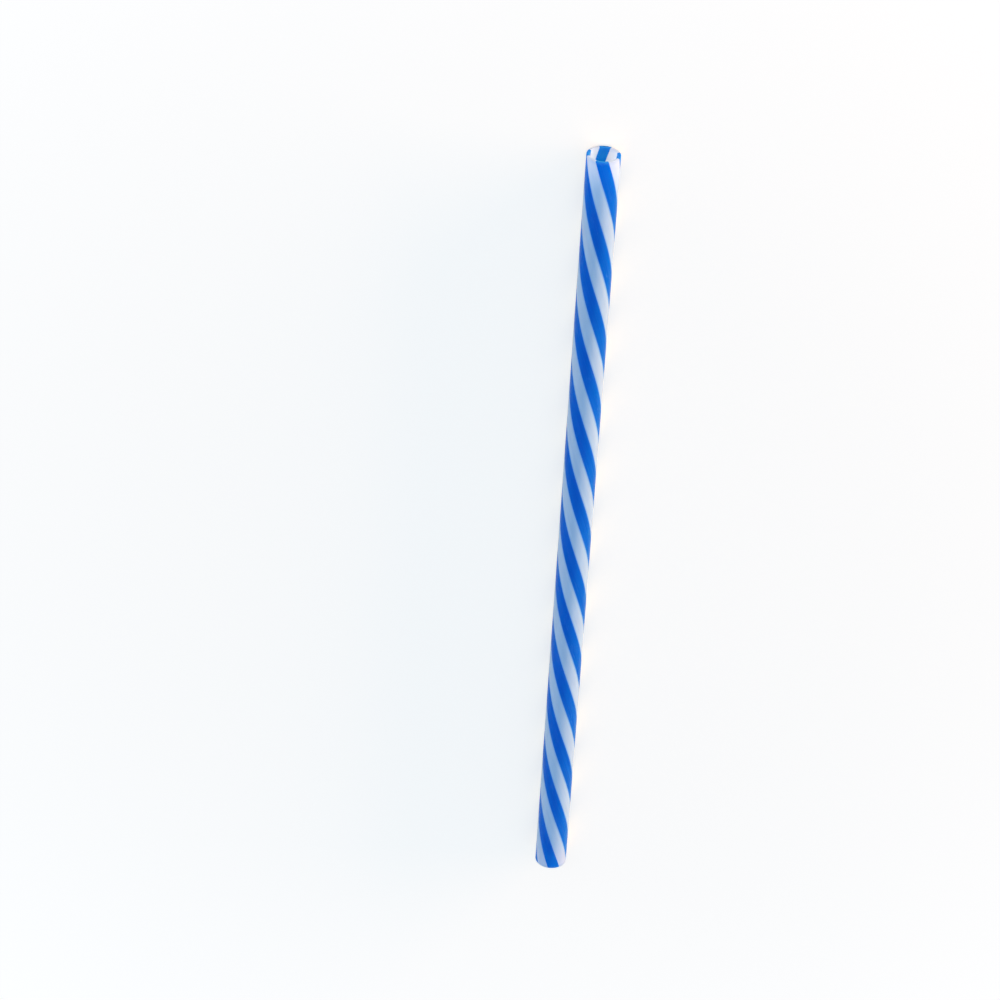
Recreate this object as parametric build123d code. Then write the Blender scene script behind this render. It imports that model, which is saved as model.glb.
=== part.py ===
from build123d import *
import os

# A reusable drinking straw: one straight extruded tube with eased lips, lying along X on the ground plane z = 0.
# The end that is drunk from points along +X. All sizes are in millimetres.

os.makedirs("parts", exist_ok=True)

# Driving dimensions
straw_length = 184.0
outer_diameter = 7.0
wall_thickness = 0.65
lip_easing = 0.18

# Sizes that follow from them
outer_radius = outer_diameter / 2
bore_radius = outer_radius - wall_thickness
lower_end_x = -straw_length / 2

# The wall's ring section stands on the lower end's plane, with its centre one outer radius above the ground,
# and is drawn out along the straw as the die of an extruder would do
with BuildPart() as straw:
    with BuildSketch(Plane.YZ.offset(lower_end_x)):
        with Locations((0, outer_radius)):
            Circle(outer_radius)
            Circle(bore_radius, mode=Mode.SUBTRACT)
    extrude(amount=straw_length)
    # Both cut ends have an outer and an inner rim, and each rim is eased by the same small radius
    fillet(straw.edges().filter_by(GeomType.CIRCLE), radius=lip_easing)

straw_tube = straw.part
straw_tube.label = "straw_tube"
export_step(straw_tube, "parts/straw_tube.step")

box = straw_tube.bounding_box()
print("straw_tube", "solids", len(straw_tube.solids()), "volume mm3", round(straw_tube.volume, 2))
print("box from", box.min, "to", box.max)
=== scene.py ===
# %% [markdown]
# # A reusable striped drinking straw
# The straw is one plastic tube, about as long as a hand and as thick as a pencil. It is made by pushing two
# plastics, a blue one and a milky white one, through one round die. The die turns while the tube comes out,
# so the stripes wind round the tube like those of a barber's pole, and each stripe goes right through the
# wall. This lesson makes the tube in the same order: first the ring that the die shows, then the push and
# the turn.

# %% Load the frame
import math

import bmesh
import bpy
from mathutils import Matrix, Vector


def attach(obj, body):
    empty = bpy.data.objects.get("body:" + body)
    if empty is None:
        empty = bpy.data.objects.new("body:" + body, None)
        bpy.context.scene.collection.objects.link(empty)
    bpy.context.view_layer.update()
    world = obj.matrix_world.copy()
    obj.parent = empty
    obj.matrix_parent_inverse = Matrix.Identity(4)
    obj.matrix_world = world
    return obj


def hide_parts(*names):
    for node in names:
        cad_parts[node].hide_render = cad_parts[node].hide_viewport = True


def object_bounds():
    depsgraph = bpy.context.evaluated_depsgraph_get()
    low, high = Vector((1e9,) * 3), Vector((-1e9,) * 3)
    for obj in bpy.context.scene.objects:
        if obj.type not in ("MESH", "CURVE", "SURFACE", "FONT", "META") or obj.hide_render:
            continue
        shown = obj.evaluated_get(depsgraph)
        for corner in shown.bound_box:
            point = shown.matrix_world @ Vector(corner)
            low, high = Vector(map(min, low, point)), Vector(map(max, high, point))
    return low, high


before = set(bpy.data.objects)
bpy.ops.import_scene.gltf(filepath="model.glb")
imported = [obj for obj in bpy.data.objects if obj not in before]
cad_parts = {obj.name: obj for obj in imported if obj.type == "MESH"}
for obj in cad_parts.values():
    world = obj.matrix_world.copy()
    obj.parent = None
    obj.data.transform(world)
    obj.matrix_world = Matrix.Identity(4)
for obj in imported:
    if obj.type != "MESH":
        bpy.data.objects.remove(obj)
cad_low, cad_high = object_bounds()
print("CAD box in mm", [round(1000 * v, 2) for v in cad_low], [round(1000 * v, 2) for v in cad_high])

# %% [markdown]
# ## Sizes
# The tube lies along X on the floor, with the end that is drunk from at +X. Its length and outside come from
# the CAD box, so that both models agree. The wall and the eased lips repeat the CAD values. There are four
# blue stripes and four white ones of the same width, and one full turn takes about 66 mm of tube. They lean
# to the left as the thread of a left-handed screw does.

# %% Sizes in metres
MM = 0.001
tube_length = cad_high.x - cad_low.x
outer_radius = (cad_high.y - cad_low.y) / 2
wall = 0.65 * MM
bore_radius = outer_radius - wall
lip_easing = 0.18 * MM
axis_height = outer_radius
mouth_x = cad_high.x
foot_x = cad_low.x

STRIPES = 4
TURN_LENGTH = 65.65 * MM
BLUE_SHARE = 0.5
MOUTH_ANGLE = math.radians(-3.7)
print("tube", round(tube_length / MM, 2), "mm long,", round(2 * outer_radius / MM, 2), "mm across")

# %% [markdown]
# ## The ring in the die
# Two circles are drawn on the plane of the mouth and bridged, which gives the flat ring of the cut end. Each
# of the eight sectors, blue or white, gets the same number of faces, and a corner of the ring lies on every
# border between two sectors. The borders can then be followed by edges of the mesh along the whole tube.

# %% Draw the ring
SECTOR_FACES = 12
ring_corners = 2 * STRIPES * SECTOR_FACES
half_blue = math.pi / STRIPES * BLUE_SHARE

# An angle is counted from straight up and grows towards -Y. Blender's circle starts on its own X axis, so
# the circle is stood up with that axis on a border between two stripes.
border_angle = MOUTH_ANGLE + half_blue
sideways, upright = math.sin(border_angle), math.cos(border_angle)
stand_up = Matrix(((0, 0, 1), (-sideways, -upright, 0), (upright, -sideways, 0))).to_4x4()
at_mouth = Matrix.Translation((mouth_x, 0, axis_height)) @ stand_up

tube = bmesh.new()
for radius in (outer_radius, bore_radius):
    bmesh.ops.create_circle(tube, segments=ring_corners, radius=radius, matrix=at_mouth)
bmesh.ops.bridge_loops(tube, edges=tube.edges[:])
print("ring of", len(tube.faces), "faces")

# %% [markdown]
# ## Push and turn
# Spin has a sideways step, dvec, which makes it a screw: every step draws the ring one length out of the die
# and turns it a little. A plain extrusion would also make a tube, but its edges would run straight, and the
# stripes would have to be painted across them. With the screw the stripes are rows of faces, as they are
# rows of plastic in the real wall.

# %% Draw the tube out with a turn
STEPS = 176
MERGE_DISTANCE = 1e-7
whole_turn = 2 * math.pi * tube_length / TURN_LENGTH
bmesh.ops.spin(
    tube,
    geom=tube.verts[:] + tube.edges[:] + tube.faces[:],
    cent=(mouth_x, 0, axis_height),
    axis=(1, 0, 0),
    dvec=(-tube_length / STEPS, 0, 0),
    angle=whole_turn,
    steps=STEPS,
    use_merge=False,
    use_duplicate=False,
)
bmesh.ops.remove_doubles(tube, verts=tube.verts, dist=MERGE_DISTANCE)
bmesh.ops.recalc_face_normals(tube, faces=tube.faces)
print("tube of", len(tube.faces), "faces,", round(whole_turn / (2 * math.pi), 2), "turns")

# %% [markdown]
# ## Eased lips
# The cut ends are polished so that they don't scratch a mouth. The four rims, outside and inside at both
# ends, are bevelled with a few segments and a round profile.

# %% Ease the four rims
SAME_PLACE = 1e-6


def on_rim(edge):
    """An edge that runs round one of the two cut ends."""
    ends = [min(abs(v.co.x - mouth_x), abs(v.co.x - foot_x)) < SAME_PLACE for v in edge.verts]
    reach = [math.hypot(v.co.y, v.co.z - axis_height) for v in edge.verts]
    return all(ends) and abs(reach[0] - reach[1]) < SAME_PLACE


rims = [e for e in tube.edges if on_rim(e)]
bmesh.ops.bevel(
    tube,
    geom=rims,
    offset=lip_easing,
    offset_type="OFFSET",
    segments=4,
    profile=0.5,
    affect="EDGES",
    material=-1,
)
bmesh.ops.recalc_face_normals(tube, faces=tube.faces)
print("eased", len(rims), "rim edges, now", len(tube.faces), "faces")

# %% [markdown]
# ## Which face is which plastic
# A face belongs to a blue stripe if its centre lies less than half a stripe from the middle of the nearest
# one. The middle turns with the distance from the mouth, just as the screw did. The rule uses only the
# angle, not the depth in the wall, so the stripes also show inside the bore and on the cut ends.

# %% Sort the faces into blue and white
STRIPE_SPACING = 2 * math.pi / STRIPES


def stripe_angle(point):
    """How far a point lies from the middle of the nearest blue stripe, in radians."""
    angle = math.atan2(-point.y, point.z - axis_height)
    middle = MOUTH_ANGLE + 2 * math.pi * (mouth_x - point.x) / TURN_LENGTH
    return (angle - middle + STRIPE_SPACING / 2) % STRIPE_SPACING - STRIPE_SPACING / 2


BLUE, WHITE = 0, 1
for face in tube.faces:
    face.smooth = True
    in_blue = abs(stripe_angle(face.calc_center_median())) < half_blue
    face.material_index = BLUE if in_blue else WHITE
blue_faces = sum(f.material_index == BLUE for f in tube.faces)
print(blue_faces, "blue faces and", len(tube.faces) - blue_faces, "white ones")

# %% [markdown]
# ## The straw's object
# So far the tube is only a bmesh. It becomes a mesh and an object at the origin, with its place in its
# vertices, and takes the place of the plain tube from CAD.

# %% Make the straw's object
straw_mesh = bpy.data.meshes.new("straw")
tube.to_mesh(straw_mesh)
tube.free()
straw = bpy.data.objects.new("straw", straw_mesh)
bpy.context.scene.collection.objects.link(straw)
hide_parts("straw_tube")
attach(straw, "root")
print("straw with", len(straw_mesh.polygons), "polygons")

# %% [markdown]
# ## Camera
# The view looks down on the straw along its length, with the mouth at the top of the picture and nearer. Two
# measurements set the camera: where the mouth lies from it, and which way the tube runs. Up from the floor
# is then the direction that is square to the tube and points towards the camera, so the camera stands
# straight above the tube's line. All three are in the camera's own axes, with x to the right, y down and z
# into the picture.

# %% Place the camera
FOCAL_PIXELS = 3600.0
PICTURE_PIXELS = 1000.0
SENSOR_WIDTH = 36.0
mouth_from_camera = Vector((20.634, -68.765, 715.526)) * MM
along_tube = Vector((-0.04943, 0.81783, 0.57333)).normalized()
up_from_floor = -mouth_from_camera + along_tube * mouth_from_camera.dot(along_tube)
up_from_floor.normalize()

# The rows are the world's X, Y and Z as the camera sees them.
world_x = -along_tube
world_z = up_from_floor
world_y = world_z.cross(world_x)
to_world = Matrix((world_x, world_y, world_z))
mouth = Vector((mouth_x, 0, axis_height))
camera_place = mouth - to_world @ mouth_from_camera

# Blender's camera has y up and looks along -z.
camera_turn = to_world @ Matrix(((1, 0, 0), (0, -1, 0), (0, 0, -1)))
camera_data = bpy.data.cameras.new("camera")
camera_data.sensor_width = SENSOR_WIDTH
camera_data.lens = FOCAL_PIXELS / PICTURE_PIXELS * SENSOR_WIDTH
camera_data.clip_start = 0.01
camera_data.clip_end = 100.0
camera = bpy.data.objects.new("camera", camera_data)
camera.matrix_world = Matrix.Translation(camera_place) @ camera_turn.to_4x4()
bpy.context.scene.collection.objects.link(camera)
bpy.context.scene.camera = camera
print("camera at", [round(v, 3) for v in camera_place])

# %% [markdown]
# ## Building materials from nodes
# Every finish below is a small tree of nodes. A few helpers keep the trees readable. An input may be a plain
# value or the output of another node, and feed sets it either way. The next four add a node or two and give
# back the output, and the last two make a node group and place it.

# %% Helpers for node trees
def feed(tree, socket, value):
    """Sets a socket to a plain value, or links it to another node's output."""
    if isinstance(value, bpy.types.NodeSocket):
        tree.links.new(value, socket)
    else:
        socket.default_value = value


def calculate(tree, operation, *values):
    """A Math node, and its result."""
    made = tree.nodes.new("ShaderNodeMath")
    made.operation = operation
    for socket, value in zip(made.inputs, values):
        feed(tree, socket, value)
    return made.outputs[0]


# A Mix node's sockets for colours come after those for numbers and vectors.
MIX_COLOURS_IN = slice(6, 8)
MIX_COLOUR_OUT = 2


def mix_colours(tree, share, first, second):
    """A Mix node that goes from the first colour to the second one."""
    made = tree.nodes.new("ShaderNodeMix")
    made.data_type = "RGBA"
    feed(tree, made.inputs["Factor"], share)
    for socket, colour in zip(made.inputs[MIX_COLOURS_IN], (first, second)):
        feed(tree, socket, colour if isinstance(colour, bpy.types.NodeSocket) else (*colour, 1))
    return made.outputs[MIX_COLOUR_OUT]


def ramp(tree, value, low, high):
    """Goes smoothly from 0, where the value is low, to 1, where it is high."""
    made = tree.nodes.new("ShaderNodeMapRange")
    made.interpolation_type = "SMOOTHSTEP"
    feed(tree, made.inputs["Value"], value)
    made.inputs["From Min"].default_value = low
    made.inputs["From Max"].default_value = high
    return made.outputs["Result"]


def noise(tree, place, grains, detail):
    """A Noise texture on a place in mm, with so many grains in a mm along each axis."""
    scaled = tree.nodes.new("ShaderNodeVectorMath")
    scaled.operation = "MULTIPLY"
    tree.links.new(place, scaled.inputs[0])
    scaled.inputs[1].default_value = grains
    made = tree.nodes.new("ShaderNodeTexNoise")
    made.inputs["Scale"].default_value = 1.0
    made.inputs["Detail"].default_value = detail
    tree.links.new(scaled.outputs[0], made.inputs["Vector"])
    return made.outputs["Fac"]


def new_group(name, inputs, outputs):
    """An empty shader node group with named sockets, and its two end nodes."""
    group = bpy.data.node_groups.new(name, "ShaderNodeTree")
    for label, kind in inputs:
        group.interface.new_socket(label, in_out="INPUT", socket_type=kind)
    for label, kind in outputs:
        group.interface.new_socket(label, in_out="OUTPUT", socket_type=kind)
    return group, group.nodes.new("NodeGroupInput"), group.nodes.new("NodeGroupOutput")


def place_group(tree, group):
    """Puts a group into a material."""
    made = tree.nodes.new("ShaderNodeGroup")
    made.node_tree = group
    return made


VALUE, VECTOR = "NodeSocketFloat", "NodeSocketVector"
print("helpers ready")

# %% [markdown]
# ## Where a point lies on the stripes
# Streaks in the plastic follow the stripes, because both came out of the turning die. A texture that is
# stretched along the tube would run straight, so this group first winds the tube back: it turns every point
# about the tube's axis by as much as the die had turned. On the straightened tube the stripes run along X.
# The group also gives the distance from the nearest border between two stripes and the distance from the
# nearer end, in mm.

# %% Group that winds the stripes straight
stripe_place, _, place_out = new_group(
    "stripe place", [], [("Straightened", VECTOR), ("From Border", VALUE), ("From End", VALUE)]
)
position = stripe_place.nodes.new("ShaderNodeTexCoord").outputs["Object"]
split = stripe_place.nodes.new("ShaderNodeSeparateXYZ")
stripe_place.links.new(position, split.inputs[0])
from_mouth = calculate(stripe_place, "SUBTRACT", mouth_x, split.outputs["X"])
from_foot = calculate(stripe_place, "SUBTRACT", split.outputs["X"], foot_x)
turned = calculate(stripe_place, "MULTIPLY_ADD", from_mouth, -2 * math.pi / TURN_LENGTH, -MOUTH_ANGLE)

wind_back = stripe_place.nodes.new("ShaderNodeVectorRotate")
wind_back.rotation_type = "X_AXIS"
wind_back.inputs["Center"].default_value = (0, 0, axis_height)
stripe_place.links.new(position, wind_back.inputs["Vector"])
stripe_place.links.new(turned, wind_back.inputs["Angle"])
to_axis = stripe_place.nodes.new("ShaderNodeVectorMath")
to_axis.operation = "SUBTRACT"
to_axis.inputs[1].default_value = (0, 0, axis_height)
stripe_place.links.new(wind_back.outputs[0], to_axis.inputs[0])
in_mm = stripe_place.nodes.new("ShaderNodeVectorMath")
in_mm.operation = "SCALE"
in_mm.inputs["Scale"].default_value = 1 / MM
stripe_place.links.new(to_axis.outputs[0], in_mm.inputs[0])
straight = stripe_place.nodes.new("ShaderNodeSeparateXYZ")
stripe_place.links.new(in_mm.outputs[0], straight.inputs[0])

sideways_mm = calculate(stripe_place, "MULTIPLY", straight.outputs["Y"], -1.0)
around = calculate(stripe_place, "ARCTAN2", sideways_mm, straight.outputs["Z"])
in_stripe = calculate(stripe_place, "WRAP", around, STRIPE_SPACING / 2, -STRIPE_SPACING / 2)
from_middle = calculate(stripe_place, "ABSOLUTE", in_stripe)
past_border = calculate(stripe_place, "SUBTRACT", from_middle, half_blue)
off_border = calculate(stripe_place, "ABSOLUTE", past_border)
border_mm = calculate(stripe_place, "MULTIPLY", off_border, outer_radius / MM)
nearer_end = calculate(stripe_place, "MINIMUM", from_mouth, from_foot)
end_mm = calculate(stripe_place, "DIVIDE", nearer_end, MM)
stripe_place.links.new(in_mm.outputs[0], place_out.inputs["Straightened"])
stripe_place.links.new(border_mm, place_out.inputs["From Border"])
stripe_place.links.new(end_mm, place_out.inputs["From End"])
print("group", stripe_place.name, "with", len(stripe_place.nodes), "nodes")

# %% [markdown]
# ## Marks of the die
# An extruded tube has fine lines that run with the stripes, where the plastic scraped along the die, and
# broader streaks where the pigment isn't quite even. Both are noise that is stretched far along the
# straightened tube. The wall is also a little wavy, which shows only in how a reflection wanders.

# %% Group for streaks, lines and waves
STREAK_GRAINS = (0.04, 1.1, 1.1)
LINE_GRAINS = (0.015, 7.0, 7.0)
WAVE_GRAINS = (0.09, 0.22, 0.22)
FAINT, FULL = 0.3, 0.7

die_marks, die_in, die_out = new_group(
    "die marks", [("Straightened", VECTOR)], [("Streaks", VALUE), ("Lines", VALUE), ("Waves", VALUE)]
)
straightened = die_in.outputs["Straightened"]
streaks = noise(die_marks, straightened, STREAK_GRAINS, 2.0)
lines = noise(die_marks, straightened, LINE_GRAINS, 1.0)
waves = noise(die_marks, straightened, WAVE_GRAINS, 1.0)
die_marks.links.new(ramp(die_marks, streaks, FAINT, FULL), die_out.inputs["Streaks"])
die_marks.links.new(ramp(die_marks, lines, FAINT, FULL), die_out.inputs["Lines"])
die_marks.links.new(waves, die_out.inputs["Waves"])
print("group", die_marks.name, "with", len(die_marks.nodes), "nodes")

# %% [markdown]
# ## Wear marks, and painted glow at the ends
# A straw that is washed and used again gets hairline scratches from a brush, and its lips lose their polish
# first. The scratches are thin crests of a noise that is stretched along the tube, kept only in some
# patches. The lip wear fades out within about a mm of the cut, and a finer noise breaks its edge. The third
# mask takes in the last few mm at both ends, where a paler colour is painted on for the glow of light that
# gets into the wall from the open bore.

# %% Group for scratches, worn lips and painted glow at the ends
BRUSH_GRAINS = (0.11, 5.0, 5.0)
PATCH_GRAINS = (0.16, 0.3, 0.3)
RAGGED_GRAINS = (1.6, 1.6, 1.6)
CREST_SIDE, CREST_TOP = 0.022, 0.004
PATCH_EDGE, PATCH_CORE = 0.46, 0.62
RAGGED_MM = 1.1
WEAR_NONE, WEAR_FULL = 0.35, -0.45
# How far from each end the painted glow of light from the open bore reaches, in mm.
END_GLOW_MM = 8.0

wear_and_end_glow, wear_glow_in, wear_glow_out = new_group(
    "wear and painted end glow",
    [("Straightened", VECTOR), ("From End", VALUE)],
    [("Scratches", VALUE), ("Lip Wear", VALUE), ("Painted End Glow", VALUE)],
)
straightened = wear_glow_in.outputs["Straightened"]
from_end = wear_glow_in.outputs["From End"]
brushed = noise(wear_and_end_glow, straightened, BRUSH_GRAINS, 0.0)
patches = noise(wear_and_end_glow, straightened, PATCH_GRAINS, 1.0)
crest = calculate(wear_and_end_glow, "ABSOLUTE", calculate(wear_and_end_glow, "SUBTRACT", brushed, 0.5))
hairline = ramp(wear_and_end_glow, crest, CREST_SIDE, CREST_TOP)
in_patches = ramp(wear_and_end_glow, patches, PATCH_EDGE, PATCH_CORE)
scratches = calculate(wear_and_end_glow, "MULTIPLY", hairline, in_patches)
ragged = noise(wear_and_end_glow, straightened, RAGGED_GRAINS, 3.0)
worn_edge = calculate(wear_and_end_glow, "MULTIPLY_ADD", ragged, -RAGGED_MM, from_end)
lip_wear = ramp(wear_and_end_glow, worn_edge, WEAR_NONE, WEAR_FULL)
# Painted light: the last few mm at both ends are made paler, for light that gets into the wall from the open
# bore.
painted_end_glow = ramp(wear_and_end_glow, from_end, END_GLOW_MM, 0.0)
wear_and_end_glow.links.new(scratches, wear_glow_out.inputs["Scratches"])
wear_and_end_glow.links.new(lip_wear, wear_glow_out.inputs["Lip Wear"])
wear_and_end_glow.links.new(painted_end_glow, wear_glow_out.inputs["Painted End Glow"])
print("group", wear_and_end_glow.name, "with", len(wear_and_end_glow.nodes), "nodes")

# %% [markdown]
# ## The two plastics
# Both are the same soft, slightly waxy plastic, so one function makes them. Light goes in on one side of the
# thin wall and comes out on the other. A transparent shader would show the far wall sharply, which milky
# plastic doesn't, so both have subsurface scattering with a radius as large as the wall or larger, and the
# bore is lit through it. Only red light goes less deep in the blue. Where the two meet, the border lies at a
# slant in the wall, so each shows a trace of the other: the blue turns paler within a few tenths of a mm of
# the border, and the white turns bluish. Both go over to a paler colour at the ends, which is painted glow
# of light from the open bore, and scratches and worn lips are duller and rougher than the rest.

# %% Values that both plastics share
# How much the painted glow at the ends pales the colour.
END_GLOW_SHARE = 0.85
WORN_SHARE = 0.3
BORDER_OVERLAP = 0.3
POLISHED = 0.22
LINE_ROUGHNESS = 0.08
SCRATCH_ROUGHNESS = 0.14
LIP_ROUGHNESS = 0.2
WAVE_HEIGHT = 6.0
SCRATCH_DEPTH = 1.2
LINE_DEPTH = 0.012 * MM
roughest = POLISHED + LINE_ROUGHNESS + SCRATCH_ROUGHNESS + LIP_ROUGHNESS
print("roughness from", POLISHED, "to", round(roughest, 2))


# %% Plastics
def plastic(name, colours, border_colour, end_glow_colour, worn_colour, border_width, scatter):
    """A striped tube's plastic: pigment streaks, a bleeding border, die lines, scratches, worn lips and
    painted glow at the ends.
    """
    made = bpy.data.materials.new(name)
    made.use_nodes = True
    tree = made.node_tree
    shader = tree.nodes["Principled BSDF"]
    place = place_group(tree, stripe_place)
    die = place_group(tree, die_marks)
    wear_glow = place_group(tree, wear_and_end_glow)
    tree.links.new(place.outputs["Straightened"], die.inputs["Straightened"])
    tree.links.new(place.outputs["Straightened"], wear_glow.inputs["Straightened"])
    tree.links.new(place.outputs["From End"], wear_glow.inputs["From End"])

    pigment = mix_colours(tree, die.outputs["Streaks"], *colours)
    bleed = ramp(tree, place.outputs["From Border"], border_width, -BORDER_OVERLAP * border_width)
    bled = mix_colours(tree, bleed, pigment, border_colour)
    # Painted light: the ends go over to a paler colour, as if lit from inside by the open bore.
    end_glow_share = calculate(tree, "MULTIPLY", wear_glow.outputs["Painted End Glow"], END_GLOW_SHARE)
    with_end_glow = mix_colours(tree, end_glow_share, bled, end_glow_colour)
    worn = calculate(tree, "MAXIMUM", wear_glow.outputs["Lip Wear"], wear_glow.outputs["Scratches"])
    worn_share = calculate(tree, "MULTIPLY", worn, WORN_SHARE)
    feed(tree, shader.inputs["Base Color"], mix_colours(tree, worn_share, with_end_glow, worn_colour))

    lines_rough = calculate(tree, "MULTIPLY_ADD", die.outputs["Lines"], LINE_ROUGHNESS, POLISHED)
    scratched = calculate(tree, "MULTIPLY_ADD", wear_glow.outputs["Scratches"], SCRATCH_ROUGHNESS, lines_rough)
    all_rough = calculate(tree, "MULTIPLY_ADD", wear_glow.outputs["Lip Wear"], LIP_ROUGHNESS, scratched)
    feed(tree, shader.inputs["Roughness"], all_rough)

    lined = calculate(tree, "MULTIPLY_ADD", die.outputs["Waves"], WAVE_HEIGHT, die.outputs["Lines"])
    height = calculate(tree, "MULTIPLY_ADD", wear_glow.outputs["Scratches"], -SCRATCH_DEPTH, lined)
    bump = tree.nodes.new("ShaderNodeBump")
    bump.inputs["Strength"].default_value = 0.5
    bump.inputs["Distance"].default_value = LINE_DEPTH
    feed(tree, bump.inputs["Height"], height)
    feed(tree, shader.inputs["Normal"], bump.outputs["Normal"])

    shader.inputs["IOR"].default_value = 1.49
    shader.inputs["Specular IOR Level"].default_value = 0.05
    shader.inputs["Subsurface Weight"].default_value = 1.0
    shader.inputs["Subsurface Radius"].default_value = scatter
    shader.inputs["Subsurface Scale"].default_value = MM
    print(made.name, "with", len(tree.nodes), "nodes")
    return made


blue_plastic = plastic(
    "blue plastic",
    colours=((0.001, 0.167, 0.61), (0.002, 0.192, 0.655)),
    border_colour=(0.06, 0.34, 0.80),
    # The paler colour at the ends is painted glow of light from the open bore.
    end_glow_colour=(0.003, 0.25, 0.70),
    worn_colour=(0.10, 0.36, 0.80),
    border_width=0.30,
    scatter=(0.6, 1.8, 1.8),
)
milky_plastic = plastic(
    "milky plastic",
    colours=((0.68, 0.86, 0.98), (0.74, 0.90, 0.985)),
    border_colour=(0.36, 0.62, 0.89),
    # The paler colour at the ends is painted glow of light from the open bore.
    end_glow_colour=(0.95, 0.92, 0.91),
    worn_colour=(0.62, 0.72, 0.80),
    border_width=0.45,
    scatter=(1.6, 1.75, 1.85),
)
straw_mesh.materials.append(blue_plastic)
straw_mesh.materials.append(milky_plastic)

# %% [markdown]
# ## Floor
# The floor is a plain sheet that runs far past the straw and keeps its shadow. Its paint is sandy, because
# the room's light is bluish, and the two together give a neutral grey. A white glow, which only the
# camera and reflections see, lifts that grey to white. More light would do it too, but that would bleach the
# straw. The glow is a little stronger far off, where the lamps don't reach.

# %% Floor
FLOOR_REACH = 6.0
floor_bm = bmesh.new()
bmesh.ops.create_grid(floor_bm, x_segments=1, y_segments=1, size=FLOOR_REACH)
floor_mesh = bpy.data.meshes.new("floor")
floor_bm.to_mesh(floor_mesh)
floor_bm.free()
floor = bpy.data.objects.new("floor", floor_mesh)
bpy.context.scene.collection.objects.link(floor)
print("floor of", 2 * FLOOR_REACH, "m")


# %% Floor paint
def seen_directly(tree):
    """1 for what the camera sees, straight or by way of a shiny or clear surface, and 0 for other light."""
    path = tree.nodes.new("ShaderNodeLightPath")
    seen = calculate(tree, "MAXIMUM", path.outputs["Is Camera Ray"], path.outputs["Is Glossy Ray"])
    return calculate(tree, "MAXIMUM", seen, path.outputs["Is Transmission Ray"])


NEAR_GLOW, FAR_GLOW = 0.63, 0.80
NEAR_REACH, FAR_REACH = 0.05, 0.45
floor_paint = bpy.data.materials.new("sandy floor")
floor_paint.use_nodes = True
floor_tree = floor_paint.node_tree
floor_shader = floor_tree.nodes["Principled BSDF"]
floor_shader.inputs["Base Color"].default_value = (0.92, 0.635, 0.40, 1)
floor_shader.inputs["Roughness"].default_value = 0.9
floor_shader.inputs["Specular IOR Level"].default_value = 0.0
floor_shader.inputs["Emission Color"].default_value = (1, 1, 1, 1)
floor_place = floor_tree.nodes.new("ShaderNodeTexCoord").outputs["Object"]
from_straw = floor_tree.nodes.new("ShaderNodeVectorMath")
from_straw.operation = "LENGTH"
floor_tree.links.new(floor_place, from_straw.inputs[0])
far_off = ramp(floor_tree, from_straw.outputs["Value"], NEAR_REACH, FAR_REACH)
glow_level = calculate(floor_tree, "MULTIPLY_ADD", far_off, FAR_GLOW - NEAR_GLOW, NEAR_GLOW)
floor_glow = calculate(floor_tree, "MULTIPLY", seen_directly(floor_tree), glow_level)
feed(floor_tree, floor_shader.inputs["Emission Strength"], floor_glow)
floor_mesh.materials.append(floor_paint)
print(floor_paint.name, "with", len(floor_tree.nodes), "nodes")

# %% [markdown]
# ## Light
# A large warm soft box stands low on the right of the picture, as a window would, with a weaker one on the
# left, and a cool even fill comes from the rest of the room. Light also falls into the mouth of a straw that
# is held up, and makes the wall glow there. This one lies down, so a very small round lamp inside the mouth
# stands in for that light. The camera sees none of the lamps.

# %% Lamps
def lamp_object(data, place):
    """Puts a lamp in its place and hides it from the camera."""
    lamp = bpy.data.objects.new(data.name, data)
    lamp.location = place
    lamp.visible_camera = False
    bpy.context.scene.collection.objects.link(lamp)
    print(data.name, "at", [round(v, 3) for v in place], "with", data.energy, "W")
    return lamp


def soft_box(name, place, target, width, height, watts, colour):
    """A rectangular lamp that faces a target."""
    data = bpy.data.lights.new(name, "AREA")
    data.shape = "RECTANGLE"
    data.size = width
    data.size_y = height
    data.energy = watts
    data.color = colour
    lamp = lamp_object(data, place)
    lamp.rotation_mode = "QUATERNION"
    lamp.rotation_quaternion = (Vector(target) - Vector(place)).to_track_quat("-Z", "Y")


soft_box(
    "right soft box",
    place=(0.40, -0.86, 0.09),
    target=(0.03, 0, 0),
    width=0.9,
    height=0.16,
    watts=8.3,
    colour=(1.0, 0.76, 0.57),
)
soft_box(
    "left soft box",
    place=(0.45, 0.76, 0.05),
    target=(0, 0, 0),
    width=0.8,
    height=0.08,
    watts=1.5,
    colour=(1.0, 0.93, 1.0),
)

BORE_LAMP_DEPTH = 2.5 * MM
bore_light = bpy.data.lights.new("bore lamp", "POINT")
bore_light.energy = 0.00018
bore_light.color = (0.97, 0.94, 0.76)
bore_light.shadow_soft_size = 1.5 * MM
lamp_object(bore_light, (mouth_x - BORE_LAMP_DEPTH, 0, axis_height))

# %% World
room_light = (0.34, 0.572, 1.0, 1)
ROOM_LEVEL = 0.80
room = bpy.data.worlds.new("pale room")
bpy.context.scene.world = room
room.use_nodes = True
room_tree = room.node_tree
fill = room_tree.nodes["Background"]
fill.inputs["Color"].default_value = room_light
fill.inputs["Strength"].default_value = ROOM_LEVEL
backdrop = room_tree.nodes.new("ShaderNodeBackground")
backdrop.inputs["Color"].default_value = (1, 1, 1, 1)
backdrop.inputs["Strength"].default_value = 1.0
either = room_tree.nodes.new("ShaderNodeMixShader")
feed(room_tree, either.inputs["Fac"], seen_directly(room_tree))
room_tree.links.new(fill.outputs[0], either.inputs[1])
room_tree.links.new(backdrop.outputs[0], either.inputs[2])
room_tree.links.new(either.outputs[0], room_tree.nodes["World Output"].inputs["Surface"])
print("room light", room_light[:3], "at", ROOM_LEVEL)

# %% [markdown]
# ## Finish
# The plain view transform shows colours as they are set.

# %% Finish
scene = bpy.context.scene
scene.view_settings.view_transform = "Standard"
